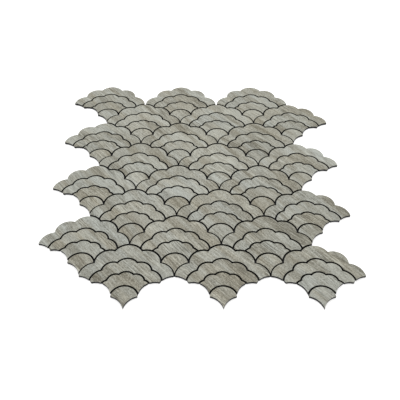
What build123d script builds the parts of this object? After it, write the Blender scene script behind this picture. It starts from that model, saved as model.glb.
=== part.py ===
# Self-adhesive mosaic sheet of cloud-edged fans, lying face up on its adhesive.
# Millimetres, +Z up. The rows run along X, the fans' crowns point to +Y and their feet to -Y.
# The origin is on the adhesive face, at the middle of the sheet.
import os
from math import acos, pi

from build123d import *

# The sheet: rows of fans, each row set over by half a fan
fan_pitch = 85.0  # width of a fan, and the step from one fan to the next in a row
row_pitch = 35.0  # step from row to row; a fan is two rows tall
fans_per_row = 3
row_count = 8

# Layers and joints
chip_thickness = 2.5
backing_thickness = 0.5
fan_joint = 1.5  # gap between two fans of a row
row_joint = 1.75  # gap between a fan's crown and the fans behind it
arch_joint = 1.6  # gap between two chips of one fan
foot_clearance = 0.4  # how far a fan's pointed foot stays from the middle of its joint with the fans in front
backing_setback = 0.6  # how far the backing stays inside the chips' edge

# The clouds. Each is five round lobes: a crown, two shoulders and two sides. Their edges run along
# the middle of the joints. Drops are measured down from the top of the fan.
flat_depth = 0.28  # rounds are drawn as short flats, half this inside and half outside, for a light sheet

# The outer cloud is the fan's own edge, and its sides touch the next fans of the row
outer_crown_radius = 14.8
outer_shoulder_radius = 13.5
outer_shoulder_reach = 16.4  # from the fan's middle line to the shoulder's centre
outer_shoulder_drop = 19.8
outer_side_radius = 15.2

# The middle cloud parts the outer arch from the middle one
middle_crown_drop = 15.4
middle_crown_radius = 11.0
middle_shoulder_radius = 10.1
middle_shoulder_reach = 12.3
middle_shoulder_drop = 29.6
middle_side_radius = 13.1
middle_side_inset = 23.7  # from the fan's side tip, inwards and down to the side's centre
middle_side_sink = 5.8

# The inner cloud parts the middle arch from the inner one
inner_crown_drop = 29.8
inner_crown_radius = 8.6
inner_shoulder_radius = 7.9
inner_shoulder_reach = 8.7
inner_shoulder_drop = 40.2
inner_side_radius = 9.4
inner_side_inset = 29.2
inner_side_sink = 12.5

# The plain arch that parts the inner arch from the fan's tip
tip_radius = 12.7
tip_centre_height = 12.9  # above the fan's foot

# Places that follow from the sizes above, measured from the top of a fan
half_pitch = fan_pitch / 2
fan_height = 2 * row_pitch
row_slack = row_joint - fan_joint  # how much further back the fans behind are cut
sheet_width = (fans_per_row + 0.5) * fan_pitch
sheet_depth = (row_count + 1) * row_pitch

outer_cloud = (
    (0, -outer_crown_radius, outer_crown_radius),
    (outer_shoulder_reach, -outer_shoulder_drop, outer_shoulder_radius),
    (half_pitch - outer_side_radius, -row_pitch, outer_side_radius),
)
middle_cloud = (
    (0, -middle_crown_drop - middle_crown_radius, middle_crown_radius),
    (middle_shoulder_reach, -middle_shoulder_drop, middle_shoulder_radius),
    (half_pitch - middle_side_inset, -row_pitch - middle_side_sink, middle_side_radius),
)
inner_cloud = (
    (0, -inner_crown_drop - inner_crown_radius, inner_crown_radius),
    (inner_shoulder_reach, -inner_shoulder_drop, inner_shoulder_radius),
    (half_pitch - inner_side_inset, -row_pitch - inner_side_sink, inner_side_radius),
)


def lobe(radius, grow):
    """A round drawn as an even number of short flats, so that its left and right halves match."""
    half_angle = acos(1 - flat_depth / radius)
    flat_count = 2 * round(pi / half_angle / 2)
    RegularPolygon(radius + grow + flat_depth / 2, flat_count)


def cloud(lobes, grow):
    """A cloud with each lobe's radius grown, filled down to the fan's foot, under the fans in front."""
    foot = -fan_height - 2 * abs(grow)
    middle_line = [(x, y) for x, y, radius in lobes]
    right_side = middle_line + [(outer_side_radius, foot)]
    left_side = [(-x, y) for x, y in reversed(right_side) if x > 0]
    with BuildSketch() as region:
        for x, y, radius in lobes:
            places = {(x, y), (-x, y)}  # the crown has one place, the others have two
            with Locations(*places):
                lobe(radius, grow)
        with BuildLine():
            Polyline(*right_side, *left_side, close=True)
        make_face()
    return region.sketch


def tip_disc(grow):
    """The round whose upper half is the arch over the fan's tip."""
    with BuildSketch() as region:
        with Locations((0, tip_centre_height - fan_height)):
            lobe(tip_radius, grow)
    return region.sketch


def fans_in_front(grow, slack):
    """The two fans that overlap this one from the row in front, with their half of the joint."""
    with BuildSketch() as region:
        with Locations((-half_pitch, slack - row_pitch), (half_pitch, slack - row_pitch)):
            add(cloud(outer_cloud, grow))
    return region.sketch


def arch_outline(region, next_region):
    """An arch of a fan: its region, less the region of the next chip in, less the fans in front."""
    with BuildSketch() as arch:
        add(region)
        add(next_region, mode=Mode.SUBTRACT)
        add(fans_in_front(fan_joint / 2, row_slack), mode=Mode.SUBTRACT)
    return arch.sketch


def tip_outline(region):
    """The tip of a fan: its region, less the fans in front, which leave it a long pointed foot."""
    with BuildSketch() as tip:
        add(region)
        add(fans_in_front(foot_clearance, 0), mode=Mode.SUBTRACT)
    return tip.sketch


def fan_top(row, column):
    """Top of the fan in a row and column, both counted from 1 at the back left."""
    set_over = 0 if row % 2 else 0.5
    x = (column - 0.5 + set_over) * fan_pitch - sheet_width / 2
    y = sheet_depth / 2 - (row - 1) * row_pitch
    return (x, y)


def missing_columns(row):
    """Columns of a row where the next sheet's fans fit in, beside this one's or in front of them."""
    if row > row_count:
        return range(0, fans_per_row + 2)
    if row % 2 == 0:
        return [0]
    return [fans_per_row + 1] if row > 1 else []


# The four chips of a fan, from the cloud edge in to the foot
half_arch_joint = arch_joint / 2
chip_outlines = {
    "outer_arch": arch_outline(cloud(outer_cloud, -fan_joint / 2), cloud(middle_cloud, half_arch_joint)),
    "middle_arch": arch_outline(cloud(middle_cloud, -half_arch_joint), cloud(inner_cloud, half_arch_joint)),
    "inner_arch": arch_outline(cloud(inner_cloud, -half_arch_joint), tip_disc(half_arch_joint)),
    "fan_tip": tip_outline(tip_disc(-half_arch_joint)),
}

os.makedirs("parts", exist_ok=True)

# The chips, seated on the backing, with the like chips of a row together
for row in range(1, row_count + 1):
    row_places = [fan_top(row, column) for column in range(1, fans_per_row + 1)]
    for chip_name, outline in chip_outlines.items():
        with BuildPart() as chips:
            with BuildSketch(Plane.XY.offset(backing_thickness)):
                with Locations(*row_places):
                    add(outline)
            extrude(amount=chip_thickness)
        chips.part.label = f"{chip_name}_row_{row}"
        export_step(chips.part, f"parts/{chips.part.label}.step")

# The backing follows the sheet's outline, a little inside the chips. Row by row from the back, the
# places of the next sheet's fans are cut away and this sheet's own fans are laid over.
inset = fan_joint / 2 + backing_setback
with BuildPart() as backing:
    with BuildSketch():
        for row in range(1, row_count + 2):
            for column in missing_columns(row):
                x, y = fan_top(row, column)
                with Locations((x, y + row_slack)):
                    add(cloud(outer_cloud, inset), mode=Mode.SUBTRACT)
            if row <= row_count:
                with Locations(*[fan_top(row, column) for column in range(1, fans_per_row + 1)]):
                    add(cloud(outer_cloud, -inset))
    extrude(amount=backing_thickness)
backing.part.label = "adhesive_backing"
export_step(backing.part, "parts/adhesive_backing.step")
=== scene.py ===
import math
import random

import bpy
from mathutils import Euler, Matrix, Vector


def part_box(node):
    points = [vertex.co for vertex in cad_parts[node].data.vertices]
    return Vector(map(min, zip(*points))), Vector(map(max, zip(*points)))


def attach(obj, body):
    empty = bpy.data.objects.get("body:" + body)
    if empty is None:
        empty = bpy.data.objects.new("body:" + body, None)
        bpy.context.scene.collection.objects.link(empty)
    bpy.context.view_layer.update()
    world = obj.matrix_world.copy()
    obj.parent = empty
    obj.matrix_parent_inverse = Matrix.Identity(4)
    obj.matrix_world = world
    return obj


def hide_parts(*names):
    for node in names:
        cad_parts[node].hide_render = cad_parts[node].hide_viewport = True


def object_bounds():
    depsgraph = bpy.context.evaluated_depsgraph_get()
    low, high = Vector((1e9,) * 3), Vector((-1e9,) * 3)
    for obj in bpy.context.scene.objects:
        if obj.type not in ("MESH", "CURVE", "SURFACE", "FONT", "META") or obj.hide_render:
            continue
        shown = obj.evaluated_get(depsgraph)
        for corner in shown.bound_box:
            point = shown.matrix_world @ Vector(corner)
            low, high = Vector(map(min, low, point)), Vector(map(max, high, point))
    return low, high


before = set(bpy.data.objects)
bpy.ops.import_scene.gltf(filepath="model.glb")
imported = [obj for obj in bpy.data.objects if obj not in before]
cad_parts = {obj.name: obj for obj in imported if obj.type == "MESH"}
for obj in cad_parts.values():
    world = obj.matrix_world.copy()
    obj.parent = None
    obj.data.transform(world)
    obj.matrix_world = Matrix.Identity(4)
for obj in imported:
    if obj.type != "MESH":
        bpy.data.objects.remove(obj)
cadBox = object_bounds()
print("frame loaded,", len(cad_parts), "nodes")


class Wire:
    # A socket that can stand in a sum: each operator adds its Math node and returns the result
    def __init__(self, tree, socket=None):
        self.tree = tree
        self.socket = socket

    def node(self, kind, settings=None, plugs=None, out=0):
        made = self.tree.nodes.new(kind)
        for name, setting in (settings or {}).items():
            if name == "stops":  # a ramp's stops, as (place, colour)
                ramp = made.color_ramp.elements
                while len(ramp) < len(setting):
                    ramp.new(1.0)
                for stop, (place, colour) in zip(ramp, setting):
                    stop.position = place
                    stop.color = (*colour, 1.0)
            else:
                setattr(made, name, setting)
        for name, value in (plugs or {}).items():
            if isinstance(value, Wire):
                self.tree.links.new(value.socket, made.inputs[name])
            else:
                made.inputs[name].default_value = value
        return Wire(self.tree, made.outputs[out])

    def maths(self, operation, first, second):
        return self.node("ShaderNodeMath", {"operation": operation}, {0: first, 1: second})

    def __add__(self, other):
        return self.maths("ADD", self, other)

    def __sub__(self, other):
        return self.maths("SUBTRACT", self, other)

    def __rsub__(self, other):
        return self.maths("SUBTRACT", other, self)

    def __mul__(self, other):
        return self.maths("MULTIPLY", self, other)

    def __gt__(self, other):
        return self.maths("GREATER_THAN", self, other)

    __radd__ = __add__
    __rmul__ = __mul__


def newMaterial(name):
    material = bpy.data.materials.new(name)
    material.use_nodes = True
    return material, material.node_tree.nodes["Principled BSDF"]


def plug(shader, name, wire):
    wire.tree.links.new(wire.socket, shader.inputs[name])


def layer(start, place, stretch, detail, roughness=0.55, distortion=0.0):
    # Noise round 0.5; the larger a number of stretch, the finer it is along that axis
    scaled = start.node("ShaderNodeVectorMath", {"operation": "MULTIPLY"}, {0: place, 1: stretch})
    plugs = {"Vector": scaled, "Scale": 1.0, "Detail": detail, "Roughness": roughness,
             "Distortion": distortion}
    return start.node("ShaderNodeTexNoise", plugs=plugs)


def rise(start, value, edge, top=1.0):  # 0 up to the edge's first number, and top from its second on
    plugs = {"Value": value, "From Min": edge[0], "From Max": edge[1], "To Max": top}
    return start.node("ShaderNodeMapRange", {"interpolation_type": "SMOOTHSTEP"}, plugs)


def blend(start, amount, low, high):
    low, high = (end if isinstance(end, Wire) else (*end, 1.0) for end in (low, high))
    colours = {0: amount, 6: low, 7: high}  # a Mix node's sockets for colours are 6 and 7
    return start.node("ShaderNodeMix", {"data_type": "RGBA"}, colours, out=2)


# Sizes of one fan, in metres. Each lobe is (across from the middle line, down from the fan's top, radius)
fan = {
    "pitch": 0.085,
    "rowStep": 0.035,
    "fanJoint": 0.0015,  # gap between two fans of a row
    "rowSlack": 0.00025,  # how much further back the arches of the fans behind are cut
    "footClearance": 0.0004,  # the pointed foot of a tip reaches further in between the fans in front
    "archJoint": 0.0016,
    "outer": ((0.0, 0.0148, 0.0148), (0.0164, 0.0198, 0.0135), (0.0273, 0.0350, 0.0152)),
    "middle": ((0.0, 0.0264, 0.0110), (0.0123, 0.0296, 0.0101), (0.0188, 0.0408, 0.0131)),
    "inner": ((0.0, 0.0384, 0.0086), (0.0087, 0.0402, 0.0079), (0.0133, 0.0475, 0.0094)),
    "tip": ((0.0, 0.0571, 0.0127),),
}

# One chip's mesh, and where its print is cut from
chip = {
    "circle": 0.01,  # radius of the circle that it is shaped from
    "chord": 0.0011,  # length of the short steps along its rounds
    "edgeRound": 0.00018,  # softened rim of the printed face
    "edgeSteps": 2,
    "crispFrom": 40.0,  # degrees, edges sharper than this stay crisp
    "flatFrom": 0.99,  # faces whose normals are as upright as this are flat
    "veinTurn": -47.0,  # degrees, the way the vein runs across the sheet
    "veinStray": 5.0,
    "printSheets": 40.0,  # each chip is cut from a printed sheet numbered between 0 and this
    "seed": 11,
}


def ownEdge(lobes, joint):  # a chip's own cloud edge, half a joint inside the line
    return [(x, -drop, radius - joint / 2, True) for x, drop, radius in lobes]


def cutEdge(lobes, joint):  # the edge left by the cloud of the next chip in
    return [(x, -drop, radius + joint / 2, False) for x, drop, radius in reversed(lobes)]


def frontFan(number, grow, slack):  # a lobe of the fan in front on the right, which cuts into this one
    x, drop, radius = fan["outer"][number]
    return (fan["pitch"] / 2 - x, slack - fan["rowStep"] - drop, radius + grow, False)


# The rounds along the right half of each chip, from the top of its edge to its foot, then back inside
crownInFront = frontFan(0, fan["fanJoint"] / 2, fan["rowSlack"])
shoulderInFront = frontFan(1, fan["fanJoint"] / 2, fan["rowSlack"])
sideInFront = frontFan(2, fan["footClearance"], 0.0)
chipRounds = {
    "outer_arch": ownEdge(fan["outer"], fan["fanJoint"]) + [crownInFront]
    + cutEdge(fan["middle"], fan["archJoint"]),
    "middle_arch": ownEdge(fan["middle"], fan["archJoint"]) + [crownInFront, shoulderInFront]
    + cutEdge(fan["inner"], fan["archJoint"]),
    "inner_arch": ownEdge(fan["inner"], fan["archJoint"]) + [shoulderInFront]
    + cutEdge(fan["tip"], fan["archJoint"]),
    "fan_tip": ownEdge(fan["tip"], fan["archJoint"]) + [sideInFront],
}


def crossing(first, second):  # the upper of the two points where two rounds cross
    a = Vector(first[:2])
    b = Vector(second[:2])
    apart = (b - a).length
    along = (apart ** 2 + first[2] ** 2 - second[2] ** 2) / (2 * apart)
    aside = math.sqrt(first[2] ** 2 - along ** 2)
    step = (b - a) / apart
    across = Vector((-step.y, step.x))
    points = [a + step * along + across * side for side in (aside, -aside)]
    return max(points, key=lambda point: point.y)


def outline(rounds):  # points along the whole edge, clockwise from the left end of the first round
    leftHalf = [(-x, y, radius, bulge) for x, y, radius, bulge in reversed(rounds) if x]
    loop = rounds + leftHalf
    corners = [crossing(loop[number - 1], loop[number]) for number in range(len(loop))]
    points = []
    for number, (x, y, radius, bulge) in enumerate(loop):
        start = corners[number]
        end = corners[(number + 1) % len(loop)]
        fromAngle = math.atan2(start.y - y, start.x - x)
        toAngle = math.atan2(end.y - y, end.x - x)
        sweep = -((fromAngle - toAngle) % math.tau) if bulge else (toAngle - fromAngle) % math.tau
        steps = max(2, round(abs(sweep) * radius / chip["chord"]))
        for step in range(steps):
            angle = fromAngle + sweep * step / steps
            points.append((x + radius * math.cos(angle), y + radius * math.sin(angle)))
    return points


def modelChip(name, low, high):
    points = outline(chipRounds[name])[::-1]
    bpy.ops.object.select_all(action="DESELECT")
    bpy.ops.mesh.primitive_circle_add(vertices=len(points), radius=chip["circle"], fill_type="NGON")
    master = bpy.context.object
    master.name = name + "_master"
    for vertex, (x, y) in zip(master.data.vertices, points):
        vertex.co = (x, y, low)
    bpy.ops.object.mode_set(mode="EDIT")
    bpy.ops.mesh.select_all(action="SELECT")
    bpy.ops.mesh.extrude_region_move(TRANSFORM_OT_translate={"value": (0, 0, high - low)})
    bpy.ops.mesh.region_to_loop()  # the rim of the printed face
    bpy.ops.mesh.bevel(offset=chip["edgeRound"], segments=chip["edgeSteps"], affect="EDGES",
                       clamp_overlap=True)
    bpy.ops.mesh.select_all(action="SELECT")
    bpy.ops.mesh.normals_make_consistent(inside=False)
    bpy.ops.object.mode_set(mode="OBJECT")
    bpy.ops.object.shade_smooth_by_angle(angle=math.radians(chip["crispFrom"]))
    for face in master.data.polygons:
        face.use_smooth = abs(face.normal.z) < chip["flatFrom"]
    return master


def copyChip(master, place, draw):
    twin = master.copy()
    twin.data = master.data.copy()
    bpy.context.collection.objects.link(twin)
    turn = math.radians(chip["veinTurn"] + draw.uniform(-chip["veinStray"], chip["veinStray"]))
    sheetNumber = draw.uniform(0.0, chip["printSheets"])
    toVein = Matrix.Rotation(-turn, 3, "Z")
    # the print place of a point: along the vein, across it, and which printed sheet it is cut from
    printed = twin.data.attributes.new("printPlace", "FLOAT_VECTOR", "POINT")
    for vertex, spot in zip(twin.data.vertices, printed.data):
        flat = toVein @ Vector((vertex.co.x, vertex.co.y, 0.0))
        spot.vector = (flat.x, flat.y, sheetNumber)
    twin.data.transform(Matrix.Translation((*place, 0.0)))
    return twin


# Printed face, metal skin and dark core of a chip
stone = {
    "pale": (0.464, 0.470, 0.426),
    "middle": (0.297, 0.294, 0.256),
    "deep": (0.132, 0.126, 0.101),
    "warm": (1.040, 1.0, 0.92),  # what the brown and the grey stretches of the print do to its colour
    "cool": (0.965, 1.0, 1.03),
    "pore": (0.090, 0.085, 0.070),
    "core": ((0.004, 0.004, 0.005), (0.014, 0.014, 0.015)),
    "metal": ((0.10, 0.10, 0.10), (0.22, 0.22, 0.22)),
    "skin": 0.00008,  # thickness of the metal skin that shows at the cut edge
    "printOver": 0.00012,  # how far the print wraps over the rim
    # layers of the print, stretched along the vein, across it and from sheet to sheet
    "bands": {"stretch": (9, 45, 3), "detail": 2.0, "distortion": 0.3},
    "folds": {"stretch": (10, 85, 5), "detail": 2.0, "roughness": 0.4},
    "foldEdge": (0.38, 0.52),
    "foldMean": 0.7,
    "wisps": {"stretch": (20, 120, 7), "detail": 2.0, "roughness": 0.45},
    "lines": {"stretch": (70, 950, 11), "detail": 2.0, "roughness": 0.6},
    "lineStrength": {"stretch": (20, 40, 23), "detail": 1.0},  # some stretches are lined, some are plain
    "dashes": {"stretch": (520, 1350, 13), "detail": 4.0, "roughness": 0.65},
    "sand": {"stretch": (1000, 1150, 29), "detail": 5.0, "roughness": 0.8},
    "hues": {"stretch": (22, 110, 19), "detail": 4.0, "roughness": 0.65},
    "pores": {"stretch": (300, 1300, 17), "detail": 2.0},
    "poreEdge": (0.62, 0.74),
    "poreDepth": 0.6,
    "saw": {"stretch": (1500, 1500, 300), "detail": 2.0},  # marks of the cut on the edge
    # what each layer adds to the tone and to the warmth
    "tone": {"start": 0.51, "bands": 0.45, "folds": 0.23, "wisps": 0.4, "lines": 4.5, "linesLess": 0.6,
             "dashes": 1.2, "sand": 2.8, "chip": 0.25},
    "warmth": {"start": 0.5, "hues": 1.6, "chip": 0.42, "chipTone": 0.3, "folds": 0.3},
    "hueSheet": 50,  # keeps a chip's hue apart from its tone
    "rough": {"start": 0.42, "wisps": 0.16, "pores": 0.2},
    "relief": {"lines": 0.5, "dashes": 0.3, "strength": 0.25, "depth": 0.00008},
    "specular": 0.15,
}


def chipMaterial(high):
    material, shader = newMaterial("stonePrintedChip")
    start = Wire(material.node_tree)
    place = start.node("ShaderNodeAttribute", {"attribute_name": "printPlace"}, out="Vector")
    sheetNumber = start.node("ShaderNodeSeparateXYZ", plugs={"Vector": place}, out="Z")
    body = start.node("ShaderNodeTexCoord", out="Object")
    height = start.node("ShaderNodeSeparateXYZ", plugs={"Vector": body}, out="Z")
    # tone: wide soft bands, folds, wisps, fine lines and short dashes drawn out along the vein, and sand
    bands = layer(start, place, **stone["bands"])
    folds = rise(start, layer(start, place, **stone["folds"]), stone["foldEdge"]) - stone["foldMean"]
    wisps = layer(start, place, **stone["wisps"])
    lines = layer(start, place, **stone["lines"])
    lineStrength = layer(start, place, **stone["lineStrength"])
    dashes = layer(start, place, **stone["dashes"])
    sand = layer(start, place, **stone["sand"])
    chipTone = start.node("ShaderNodeTexWhiteNoise", {"noise_dimensions": "1D"}, {"W": sheetNumber})
    share = stone["tone"]
    tone = (share["start"] + (bands - 0.5) * share["bands"] + folds * share["folds"]
            + (wisps - 0.5) * share["wisps"]
            + (lines - 0.5) * (lineStrength * share["lines"] - share["linesLess"])
            + (dashes - 0.5) * share["dashes"] + (sand - 0.5) * share["sand"]
            + (chipTone - 0.5) * share["chip"])
    stops = ((0.0, stone["deep"]), (0.5, stone["middle"]), (1.0, stone["pale"]))
    printed = start.node("ShaderNodeValToRGB", {"stops": stops}, {0: tone})
    # warmth: brown and grey stretches; dark chips and dark folds lean to brown
    hues = layer(start, place, **stone["hues"])
    hueNumber = sheetNumber + stone["hueSheet"]
    chipHue = start.node("ShaderNodeTexWhiteNoise", {"noise_dimensions": "1D"}, {"W": hueNumber})
    lean = stone["warmth"]
    warmth = (lean["start"] + (hues - 0.5) * lean["hues"] + (chipHue - 0.5) * lean["chip"]
              - (chipTone - 0.5) * lean["chipTone"] - folds * lean["folds"])
    tint = blend(start, warmth, stone["cool"], stone["warm"])
    printed = start.node("ShaderNodeVectorMath", {"operation": "MULTIPLY"}, {0: printed, 1: tint})
    pores = rise(start, layer(start, place, **stone["pores"]), stone["poreEdge"], stone["poreDepth"])
    printed = blend(start, pores, printed, stone["pore"])
    # cut edge: a thin line of bare metal under the print, then the dark core
    isPrint = height > high - stone["printOver"]
    isCore = 1 - (height > high - stone["printOver"] - stone["skin"])
    saw = layer(start, body, **stone["saw"])
    core = blend(start, saw, *stone["core"])
    metal = blend(start, saw, *stone["metal"])
    edge = blend(start, isCore, metal, core)
    plug(shader, "Base Color", blend(start, isPrint, edge, printed))
    plug(shader, "Metallic", (1 - isPrint) * (1 - isCore))
    rough = stone["rough"]
    plug(shader, "Roughness", rough["start"] + (wisps - 0.5) * rough["wisps"] + pores * rough["pores"])
    relief = stone["relief"]
    raised = lines * relief["lines"] + dashes * relief["dashes"] - pores
    bump = {"Height": raised, "Strength": relief["strength"], "Distance": relief["depth"]}
    plug(shader, "Normal", start.node("ShaderNodeBump", plugs=bump))
    shader.inputs["Specular IOR Level"].default_value = stone["specular"]
    return material


# Dark self-adhesive film under the chips, with its tacky face underneath, and a sheen painted into the
# colour of both
backing = {
    "film": (0.008, 0.008, 0.009),
    # the lighter colour that the film is mottled towards is a painted sheen
    "filmPaintedSheen": (0.020, 0.020, 0.022),
    "tacky": (0.024, 0.024, 0.025),
    # the lighter colour that the tacky face is streaked and mottled towards is a painted sheen
    "tackyPaintedSheen": (0.062, 0.061, 0.060),
    "under": 0.0001,  # what is lower than this is the tacky face
    "mottle": {"stretch": (60, 60, 60), "detail": 3.0},
    "grain": {"stretch": (1400, 1400, 1400), "detail": 2.0},
    "streaks": {"stretch": (5, 160, 1), "detail": 4.0, "roughness": 0.6},  # left by the coating roller; they vary the roughness and also draw painted sheen into the tacky face's colour
    "peel": {"stretch": (420, 420, 420), "detail": 1.0},
    # how much each layer lightens the colours as painted sheen
    "filmPaintedSheenMix": {"mottle": 0.6, "grain": 0.4},
    "tackyPaintedSheenMix": {"streaks": 2.2, "mottle": 0.5, "grain": 0.5},
    "rough": {"start": 0.75, "mottle": 0.3, "underLess": 0.35, "streaks": 0.4},
    "relief": {"grain": 0.5, "strength": 0.3, "depth": 0.0001},
    "specular": 0.2,
}


def backingMaterial(foot):
    material, shader = newMaterial("adhesiveFilm")
    start = Wire(material.node_tree)
    body = start.node("ShaderNodeTexCoord", out="Object")
    height = start.node("ShaderNodeSeparateXYZ", plugs={"Vector": body}, out="Z")
    isUnder = 1 - (height > foot + backing["under"])
    mottle = layer(start, body, **backing["mottle"])
    grain = layer(start, body, **backing["grain"])
    streaks = layer(start, body, **backing["streaks"])
    peel = layer(start, body, **backing["peel"])
    # painted sheen: mottle and grain lighten the film's colour
    share = backing["filmPaintedSheenMix"]
    filmPaintedSheenMix = mottle * share["mottle"] + grain * share["grain"]
    film = blend(start, filmPaintedSheenMix, backing["film"], backing["filmPaintedSheen"])
    # painted sheen on the tacky face: roller streaks, mottle and grain lighten its colour
    under = backing["tackyPaintedSheenMix"]
    tackyPaintedSheenMix = (streaks - 0.5) * under["streaks"] + mottle * under["mottle"] + grain * under["grain"]
    tacky = blend(start, tackyPaintedSheenMix, backing["tacky"], backing["tackyPaintedSheen"])
    plug(shader, "Base Color", blend(start, isUnder, film, tacky))
    rough = backing["rough"]
    underLess = isUnder * (rough["underLess"] + (streaks - 0.5) * rough["streaks"])
    plug(shader, "Roughness", rough["start"] + (mottle - 0.5) * rough["mottle"] - underLess)
    relief = backing["relief"]
    raised = grain * relief["grain"] + peel * isUnder
    bump = {"Height": raised, "Strength": relief["strength"], "Distance": relief["depth"]}
    plug(shader, "Normal", start.node("ShaderNodeBump", plugs=bump))
    shader.inputs["Specular IOR Level"].default_value = backing["specular"]
    return material


low, high = (corner[2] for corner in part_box("outer_arch_row_1"))
masters = {name: modelChip(name, low, high) for name in chipRounds}
print("chips modelled:", {name: len(master.data.polygons) for name, master in masters.items()})

stoneFinish = chipMaterial(high)
rowCount = sum(name.startswith("outer_arch_row_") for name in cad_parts)
draw = random.Random(chip["seed"])
for row in range(1, rowCount + 1):
    rowLow, rowHigh = (Vector(corner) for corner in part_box(f"outer_arch_row_{row}"))
    middle = (rowLow.x + rowHigh.x) / 2
    top = ((rowCount + 1) / 2 - (row - 1)) * fan["rowStep"]
    columns = round((rowHigh.x - rowLow.x) / fan["pitch"])
    for name, master in masters.items():
        twins = []
        for column in range(columns):
            across = middle + (column - (columns - 1) / 2) * fan["pitch"]
            twins.append(copyChip(master, (across, top), draw))
        bpy.ops.object.select_all(action="DESELECT")
        for twin in twins:
            twin.select_set(True)
        bpy.context.view_layer.objects.active = twins[0]
        bpy.ops.object.join()
        piece = bpy.context.object
        piece.name = f"{name}_chips_{row}"
        piece.data.materials.clear()
        piece.data.materials.append(stoneFinish)
        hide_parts(f"{name}_row_{row}")
        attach(piece, "root")
for master in masters.values():
    bpy.data.objects.remove(master)
print("chips laid in", rowCount, "rows")

filmFinish = backingMaterial(cadBox[0][2])
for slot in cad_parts["adhesive_backing"].material_slots:
    slot.material = filmFinish
print("backing finished")

# Studio: a pale floor, an even white surround and a soft lamp over the sheet
studio = {
    "floorSize": 30.0,
    "floorDrop": 0.0002,  # keeps the floor's face apart from the backing's
    "floor": (0.70, 0.70, 0.70),
    "floorRough": 0.9,
    "floorGlow": 0.60,  # the floor is a light table, which takes the shadow off the sheet's edges
    "surround": 0.75,
    "surroundColour": (1.0, 0.99, 0.97),
    "lampPower": 0.92,
    "lampSize": 0.3,
    "lampPlace": (0.0, 0.07, 0.42),
}

bpy.ops.object.select_all(action="DESELECT")
floorHeight = cadBox[0][2] - studio["floorDrop"]
bpy.ops.mesh.primitive_plane_add(size=studio["floorSize"], location=(0, 0, floorHeight))
floor = bpy.context.object
floor.name = "floor"
floorMaterial, floorShader = newMaterial("paleFloor")
floorShader.inputs["Base Color"].default_value = (*studio["floor"], 1.0)
floorShader.inputs["Roughness"].default_value = studio["floorRough"]
floorShader.inputs["Emission Color"].default_value = (1, 1, 1, 1)
floorShader.inputs["Emission Strength"].default_value = studio["floorGlow"]
floor.data.materials.append(floorMaterial)

world = bpy.data.worlds.new("surround")
world.use_nodes = True
background = world.node_tree.nodes["Background"]
background.inputs["Color"].default_value = (*studio["surroundColour"], 1)
background.inputs["Strength"].default_value = studio["surround"]
bpy.context.scene.world = world

bpy.ops.object.light_add(type="AREA", location=studio["lampPlace"])
lamp = bpy.context.object
lamp.data.energy = studio["lampPower"]
lamp.data.size = studio["lampSize"]
lamp.rotation_euler = (-Vector(studio["lampPlace"])).to_track_quat("-Z", "Y").to_euler()
bpy.context.scene.view_settings.view_transform = "Standard"
print("studio lit")

# Camera: where it stands round the point that it looks at
view = {
    "aim": (0.00157, -0.0291, 0.0),
    "distance": 0.5159,
    "elevation": 47.95,
    "azimuth": -0.46,
    "roll": 0.46,
    "lens": 46.2,  # millimetres
    "sensor": 36.0,
    "nearest": 0.01,
}
tilt = Euler((math.radians(90 - view["elevation"]), 0, math.radians(view["azimuth"]))).to_matrix()
facing = tilt @ Matrix.Rotation(math.radians(view["roll"]), 3, "Z")
place = Vector(view["aim"]) + facing @ Vector((0, 0, view["distance"]))
bpy.ops.object.camera_add()
camera = bpy.context.object
camera.matrix_world = Matrix.Translation(place) @ facing.to_4x4()
camera.data.lens = view["lens"]
camera.data.sensor_width = view["sensor"]
camera.data.clip_start = view["nearest"]
bpy.context.scene.camera = camera
print("camera placed")
